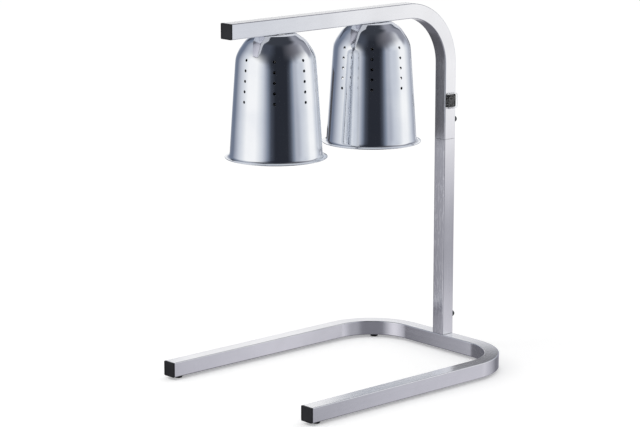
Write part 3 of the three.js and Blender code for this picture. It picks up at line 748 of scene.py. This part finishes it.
def make_shade():
    """Spun shade: flat crown, round shoulder, straight skirt and an outward lip with a rolled edge"""
    wall = 0.0011
    bulge = 0.0002
    profile = shade_top + smoothed(shade_curve, 5)
    start = profile[-1]
    for share in (0.08, 0.2, 0.35, 0.5, 0.65, 0.8, 0.92, 1):
        radius = start[0] + (skirt_foot[0] - start[0]) * share + bulge * math.sin(share * math.pi)
        profile.append((radius, start[1] + (skirt_foot[1] - start[1]) * share))
    profile += smoothed(lip_curve, 4)[1:]
    profile += rounded_corner(lip_roll_centre, lip_roll_radius, 60, -60, 4)
    piece = spun("front_spun_shade", profile, (0, 0, crown_z), steps=128)
    applied(piece, "SOLIDIFY", thickness=wall, offset=-1, use_even_offset=False)
    return piece


def make_vents():
    """Drills for the vents: five rows in eight columns round the lamp's axis"""
    radius, pitch, columns, rows = 0.0025, 0.0167, 8, 5
    turned = math.radians(2)
    top_row = crown_z - 0.0362
    middle, length = 0.065, 0.05
    start_fresh()
    bpy.ops.mesh.primitive_cylinder_add(
        vertices=28, radius=radius, depth=length, rotation=(0, math.pi / 2, turned),
        location=(middle * math.cos(turned), middle * math.sin(turned), top_row),
    )
    drill = bpy.context.active_object
    bpy.ops.object.transform_apply(location=True, rotation=True, scale=True)
    bpy.ops.object.mode_set(mode="EDIT")
    bpy.ops.mesh.select_all(action="SELECT")
    for _ in range(rows - 1):
        bpy.ops.mesh.duplicate_move(TRANSFORM_OT_translate={"value": (0, 0, -pitch)})
    bpy.ops.mesh.select_all(action="SELECT")
    bpy.ops.mesh.spin(
        steps=columns - 1, angle=TURN * (columns - 1) / columns, center=(0, 0, 0), axis=UP, dupli=True
    )
    bpy.ops.mesh.select_all(action="SELECT")
    bpy.ops.mesh.normals_make_consistent(inside=False)
    bpy.ops.object.mode_set(mode="OBJECT")
    return drill


def vented(shade, drill):
    """Cuts the vents, then takes the shading from the shade before it was cut"""
    smooth(shade, 40, False)
    whole = copied(shade, "whole_shade")
    applied(shade, "BOOLEAN", operation="DIFFERENCE", object=drill, solver="EXACT")
    smooth(shade, 40, False)
    applied(
        shade, "DATA_TRANSFER", object=whole, use_loop_data=True, data_types_loops={"CUSTOM_NORMAL"},
        loop_mapping="POLYINTERP_NEAREST",
    )
    for tool in (drill, whole):
        bpy.data.objects.remove(tool)
    return shade


bulb_widest = -0.1652
bulb_outline = [
    (0.0122, -0.0440), (0.0122, -0.0548), (0.01700, -0.0596), (0.01801, -0.0700), (0.02467, -0.0824),
    (0.03825, -0.1045), (0.05183, -0.1307), (0.06085, -0.1514), (0.0635, bulb_widest), (0.06224, -0.1762),
    (0.05439, -0.1852), (0.03909, -0.1907), (0.02039, -0.1924), (0, -0.1928),
]


def make_bulb():
    """Blown reflector bulb, with a wall"""
    glass = 0.001
    profile = [(max(radius, 0), height) for radius, height in smoothed(bulb_outline, 5)]
    profile[-1] = (0, profile[-1][1])
    piece = spun("front_reflector_bulb", profile, (0, 0, arm_underside_z), steps=72)
    applied(piece, "SOLIDIFY", thickness=glass, offset=-1)
    return smooth(piece, 60, False)


front_shade = vented(make_shade(), make_vents())
front_bulb = make_bulb()
bulb_finish = lamp_glass(arm_underside_z + bulb_widest)
rear_shade = copied(front_shade, "rear_spun_shade", (0, lamp_places["rear"], 0))
rear_bulb = copied(front_bulb, "rear_reflector_bulb", (0, lamp_places["rear"], 0))
for piece in (front_shade, front_bulb):
    moved(piece, (0, lamp_places["front"], 0))
finished(front_shade, "stand", "spun_shade", shade_finish, "front_shade")
finished(rear_shade, "stand", "spun_shade", shade_finish, "rear_shade")
finished(front_bulb, "stand", "bulb_glass", bulb_finish, "front_bulb_glass")
finished(rear_bulb, "stand", "bulb_glass", bulb_finish, "rear_bulb_glass")


# Switch

def make_housing():
    """Switch housing: a thin flange, a raised frame round the rocker's well, and the body behind it"""
    flange, width, height = 0.002, 0.0204, 0.0226
    corner = 0.0027
    step, rise = 0.0006, 0.0003
    frame_width, well_depth = 0.0016, 0.0062
    body_inset, body_depth = 0.0016, 0.0137
    centre = (column_side_x + seat_gap + flange / 2, column_y, switch_z)
    piece = make_block("switch_frame", (flange, width, height), centre)
    edit(piece)
    pick(piece, lambda e: abs(edge_run(piece, e).x) > NEARLY_ALONG, "edges")
    bpy.ops.mesh.bevel(offset=corner, segments=6)
    pick(piece, lambda f: f.normal.x > NEARLY_ALONG)
    bpy.ops.mesh.inset(thickness=step)
    pull(x=rise)
    bpy.ops.mesh.inset(thickness=frame_width)
    pull(x=-well_depth)
    pick(piece, lambda f: f.normal.x < -NEARLY_ALONG)
    bpy.ops.mesh.inset(thickness=body_inset)
    pull(x=-body_depth)
    close_up(piece)
    rounded(piece, 0.0003, 2, 50)
    return finished(smooth(piece), "stand", "black_plastic", black_plastic, "switch_housing")


def make_rocker():
    """Rocker with two hollow slopes, its lower end pressed in at rest"""
    half_length, width = 0.0088, 0.015
    tilt = math.radians(10)
    pivot_x = column_side_x + 0.0006
    valley, skirt = 0.0015, -0.0012
    rise = half_length * math.tan(tilt)
    steps, hollow = 8, 1.25
    shares = [k / steps for k in range(1, steps + 1)]
    slope = [(half_length * share, valley + rise * share ** hollow) for share in shares]
    points = [(0, valley), *slope, (half_length, skirt), (-half_length, skirt)]
    points += [(-along, out) for along, out in reversed(slope)]
    outline = [Vector((out, 0, along)) for along, out in points]
    outline.append(outline[0])
    piece = drawn("rocker_button", outline)
    bpy.ops.mesh.select_all(action="SELECT")
    bpy.ops.mesh.remove_doubles(threshold=1e-7)
    bpy.ops.mesh.edge_face_add()
    pull(y=width)
    close_up(piece)
    moved(piece, (0, -width / 2, 0))
    rounded(piece, 0.0006, 3, 40)
    piece.data.transform(Matrix.Rotation(tilt, 4, "Y"))
    moved(piece, (pivot_x, column_y, switch_z))
    return finished(smooth(piece), "rocker", "black_plastic", black_plastic, "switch_rocker")


def make_boot():
    """Clear soft cover over the switch: a thin rounded hood, open at the back"""
    wall = 0.001
    width, height, depth = 0.024, 0.0266, 0.0064
    corner, front_edge = 0.004, 0.0024
    back_x = column_side_x + seat_gap
    front = back_x + depth
    nearly, across = 1e-5, 0.1
    centre = (back_x + depth / 2, column_y, switch_z)
    piece = make_block("clear_switch_cover", (depth, width, height), centre)
    edit(piece)
    pick(piece, lambda e: abs(edge_run(piece, e).x) > NEARLY_ALONG, "edges")
    bpy.ops.mesh.bevel(offset=corner, segments=8)
    pick(
        piece,
        lambda e: edge_middle(piece, e).x > front - nearly and abs(edge_run(piece, e).x) < across,
        "edges",
    )
    bpy.ops.mesh.bevel(offset=front_edge, segments=6)
    pick(piece, lambda f: f.normal.x < -NEARLY_ALONG)
    bpy.ops.mesh.delete(type="FACE")
    walled(piece, wall)
    return finished(smooth(piece, 40), "stand", "clear_boot", boot_silicone, "switch_boot")


make_housing()
make_rocker()
make_boot()

# Finishes of the CAD nodes that stay

kept_finishes = {
    "column_post": inner_tube, "column_sleeve": inner_tube,
    "post_nut": zinc_steel, "sleeve_nut": zinc_steel,
    "wire_cap": white_lead, "live_lead": red_lead, "neutral_lead": white_lead,
    "switch_terminal_upper": brass, "switch_terminal_lower": brass,
}
lamp_finishes = {
    "lamp_nipple": zinc_steel, "arm_nut": zinc_steel, "shade_nut": zinc_steel, "lampholder": porcelain,
    "screw_shell": brass, "centre_contact": brass, "bulb_cap": brass, "bulb_insulator": black_plastic,
    "bulb_eyelet": zinc_steel, "bulb_stem": stem_glass, "filament": tungsten,
}
for side in lamp_places:
    for node, finish in lamp_finishes.items():
        kept_finishes[side + "_" + node] = finish
for node, finish in kept_finishes.items():
    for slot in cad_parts[node].material_slots:
        slot.material = finish


# Studio

def whiteness(made):
    """1 for rays that see the background: from the camera, in metal and through glass"""
    camera, metal, glass = (
        made.node("ShaderNodeLightPath", output=ray)
        for ray in ("Is Camera Ray", "Is Glossy Ray", "Is Transmission Ray")
    )
    return camera.maximum(metal).maximum(glass)


def show_in_metal_only(piece):
    """Hides a piece of the studio from all but mirrored rays"""
    for ray in ("camera", "diffuse", "transmission", "volume_scatter", "shadow"):
        setattr(piece, "visible_" + ray, False)


def make_world():
    """White for the background and soft light all round for the object"""
    world = bpy.data.worlds.new("studio")
    bpy.context.scene.world = world
    made = Finish(world)
    fill = 0.8
    strength = fill + (1 - fill) * whiteness(made)
    background = made.node("ShaderNodeBackground", values={"Color": (1, 1, 1), "Strength": strength})
    made.output(background, "ShaderNodeOutputWorld")


def make_floor():
    """Pale floor that keeps the object's shadow, and leaves the metal's reflections to the tent"""
    glow_strength = 0.24
    start_fresh()
    bpy.ops.mesh.primitive_plane_add(size=60)
    floor = bpy.context.active_object
    floor.name = "floor"
    made = material("pale_floor")
    cloud = made.noise(made.place(), 0.6, 2)
    colour = made.mixed(cloud, (0.95, 0.95, 0.95), (0.96, 0.96, 0.96))
    matt = made.node("ShaderNodeBsdfDiffuse", values={"Color": colour})
    strength = whiteness(made) * glow_strength
    glow = made.node("ShaderNodeEmission", values={"Color": (1, 1, 1), "Strength": strength})
    made.output(made.node("ShaderNodeAddShader", values={0: matt, 1: glow}))
    floor.data.materials.append(made.owner)
    floor.visible_glossy = False


def make_tent():
    """Light tent round the object, seen only in its metal: pale walls, grey cards and a dark opening"""
    radius = 1.25
    centre_z = 0.3
    wall_foot, ceiling_edge, crown_edge, pit_edge = (0.05, 0.3), (0.95, 1.35), (1.38, 1.5), (-0.7, -0.45)
    crown_tone = (0.045, 0.05, 0.062)
    start_fresh()
    bpy.ops.mesh.primitive_uv_sphere_add(segments=64, ring_count=32, radius=radius)
    tent = bpy.context.active_object
    tent.name = "tent"
    moved(tent, (0, 0, centre_z))
    made = material("tent")
    place = made.place()
    x, y, z = (made.split(place, axis) for axis in "XYZ")
    around = made.node("ShaderNodeMath", {"operation": "ARCTAN2"}, {0: y, 1: x}) * (360 / TURN)
    white, bright, pale = (1.0, 1.0, 1.0), (0.80, 0.82, 0.85), (0.63, 0.66, 0.72)
    mist, haze = (0.45, 0.475, 0.54), (0.37, 0.39, 0.45)
    slate, iron = (0.24, 0.275, 0.345), (0.175, 0.205, 0.275)
    stone, dusk, navy = (0.31, 0.315, 0.36), (0.07, 0.08, 0.105), (0.024, 0.027, 0.036)
    light, soft, grey = (0.76, 0.75, 0.80), (0.58, 0.575, 0.63), (0.40, 0.40, 0.44)
    dim, gloom, deep = (0.21, 0.21, 0.24), (0.145, 0.145, 0.165), (0.10, 0.10, 0.115)
    # Tones round the tent, at azimuths in degrees
    walls = [
        (-180, iron), (-165, iron), (-149, mist), (-139, pale), (-127, bright), (-116, white),
        (-93, white), (-83, bright), (-76, pale), (-71, mist), (-65, slate), (-58, dusk),
        (-48, navy), (-20, navy), (-12, dusk), (-4, slate), (2, mist), (10, mist), (20, pale),
        (37, bright), (47, white), (63, white), (73, bright), (82, pale), (92, mist), (106, haze),
        (117, mist), (125, white), (154, white), (162, mist), (172, slate), (180, iron),
    ]
    ground = [
        (-180, dim), (-160, dim), (-148, dim), (-141, grey), (-130, soft), (-112, light), (-100, light),
        (-90, soft), (-80, grey), (-70, dim), (-10, dim), (4, grey), (26, grey), (37, soft), (52, light),
        (62, soft), (74, grey), (84, dim), (98, dim), (106, grey), (117, light), (128, grey), (142, dim),
        (180, dim),
    ]
    ceiling = [
        (-180, iron), (-165, slate), (-150, haze), (-140, mist), (-128, haze), (-108, dusk), (-75, dusk),
        (-50, navy), (-28, navy), (15, gloom), (40, dim), (65, stone), (100, stone), (180, iron),
    ]
    upper, lower, top = (
        made.ramp(around / 360 + 0.5, [(degrees / 360 + 0.5, tone) for degrees, tone in band])
        for band in (walls, ground, ceiling)
    )
    colour = made.mixed(z.between(*wall_foot), lower, upper)
    # Cards: first and last azimuth, lower and upper edge, softness across and up, tone
    cards = [
        (24, 80, -0.22, 0.14, 6, 0.13, grey),
        (50, 66, -0.42, -0.26, 4, 0.03, grey),
        (-200, -143, -0.45, 0.08, 4, 0.06, gloom),
        (132, 200, -0.5, 0, 5, 0.06, gloom),
        (100, 134, 0, 0.31, 12, 0.06, haze),
        (124, 140, 0.405, 0.62, 4, 0.03, slate),
        (2, 42, 0.36, 0.8, 18, 0.16, pale),
        (92, 124, 0.45, 1.1, 12, 0.25, stone),
        (66, 122, 0.75, 2, 12, 0.2, stone),
        (95, 200, 0.82, 2, 12, 0.12, dusk),
    ]
    for first, last, low, high, side_edge, edge, tone in cards:
        card = made.window(around, first, last, side_edge) * made.window(z, low, high, edge)
        colour = made.mixed(card, colour, tone)
    # Dark opening, wider towards the top
    fan = (around + 40) / (1 + z.between(0.5, 1.5) * 1.6)
    colour = made.mixed(made.window(fan, -40, 38, 37) * z.between(0.4, 0.7), colour, navy)
    colour = made.mixed(z.between(*ceiling_edge), colour, top)
    colour = made.mixed(z.between(*crown_edge), colour, crown_tone)
    colour = made.mixed(1 - z.between(*pit_edge), colour, deep)
    # Paler in what is mirrored twice, between the shades and the tubes
    depth = made.node("ShaderNodeLightPath", output="Ray Depth")
    twice_mirrored = depth.between(1, 2) * (1 - depth.between(3, 4))
    colour = made.mixed(twice_mirrored * z.between(0.1, 0.3) * 0.75, colour, bright)
    made.output(made.node("ShaderNodeEmission", values={"Color": colour, "Strength": 1.0}))
    made.owner.cycles.emission_sampling = "NONE"
    tent.data.materials.append(made.owner)
    show_in_metal_only(tent)


def make_flag(name, place, azimuth, size, tone, fade=None):
    """Dark upright flag, facing an azimuth in degrees, that may fade in along X and Z"""
    start_fresh()
    turned = (math.pi / 2, 0, math.radians(azimuth) + math.pi / 2)
    bpy.ops.mesh.primitive_plane_add(size=1, location=place, rotation=turned)
    flag = bpy.context.active_object
    flag.name = name
    bpy.ops.transform.resize(value=(size[0], size[1], 1), orient_type="LOCAL")
    bpy.ops.object.transform_apply(location=True, rotation=True, scale=True)
    made = material(name)
    dark = made.node("ShaderNodeEmission", values={"Color": tone, "Strength": 1.0})
    if fade:
        x, z = (made.split(made.place(), axis) for axis in "XZ")
        density = x.between(*fade["x"]) * z.between(*fade["z"])
        clear = made.node("ShaderNodeBsdfTransparent")
        dark = made.node("ShaderNodeMixShader", values={0: density, 1: clear, 2: dark})
    made.output(dark)
    flag.data.materials.append(made.owner)
    show_in_metal_only(flag)


def make_key_light():
    """One large soft lamp, high on the left of the camera"""
    light = bpy.data.lights.new("key", "AREA")
    light.shape = "DISK"
    light.size = 1.6
    light.energy = 12
    lamp = bpy.data.objects.new("key", light)
    bpy.context.scene.collection.objects.link(lamp)
    lamp.location = (-0.6, -1.9, 2.2)
    aim = Vector((0, 0, 0.3))
    lamp.rotation_euler = (aim - lamp.location).to_track_quat("-Z", "Y").to_euler()
    lamp.visible_glossy = False


def make_camera():
    """The photograph's own camera"""
    tilt_down, heading = 0.213, 0.836
    data = bpy.data.cameras.new("camera")
    data.lens = 130.87
    data.sensor_width = 36
    camera = bpy.data.objects.new("camera", data)
    bpy.context.scene.collection.objects.link(camera)
    camera.location = (2.7971, -2.58665, 1.1023)
    camera.rotation_euler = (math.pi / 2 - tilt_down, 0, heading)
    bpy.context.scene.camera = camera


make_world()
make_floor()
make_tent()
# Flags stand beside the object, outside its box, and only its metal shows them
black_felt, grey_felt = (0.085, 0.085, 0.095), (0.18, 0.18, 0.19)
make_flag("column_flag", (-0.2185, 0.0012, 0.4125), azimuth=-135, size=(0.078, 0.175), tone=black_felt)
make_flag("bend_flag", (-0.235, 0.125, 0.345), azimuth=180, size=(0.15, 0.085), tone=black_felt)
make_flag(
    "corner_flag", (-0.0404, 0.3274, 0.111), azimuth=135, size=(0.15, 0.072), tone=grey_felt,
    fade={"x": (-0.0926, -0.0466), "z": (0.076, 0.101)},
)
make_key_light()
make_camera()
bpy.context.scene.view_settings.view_transform = "Standard"

start_fresh()
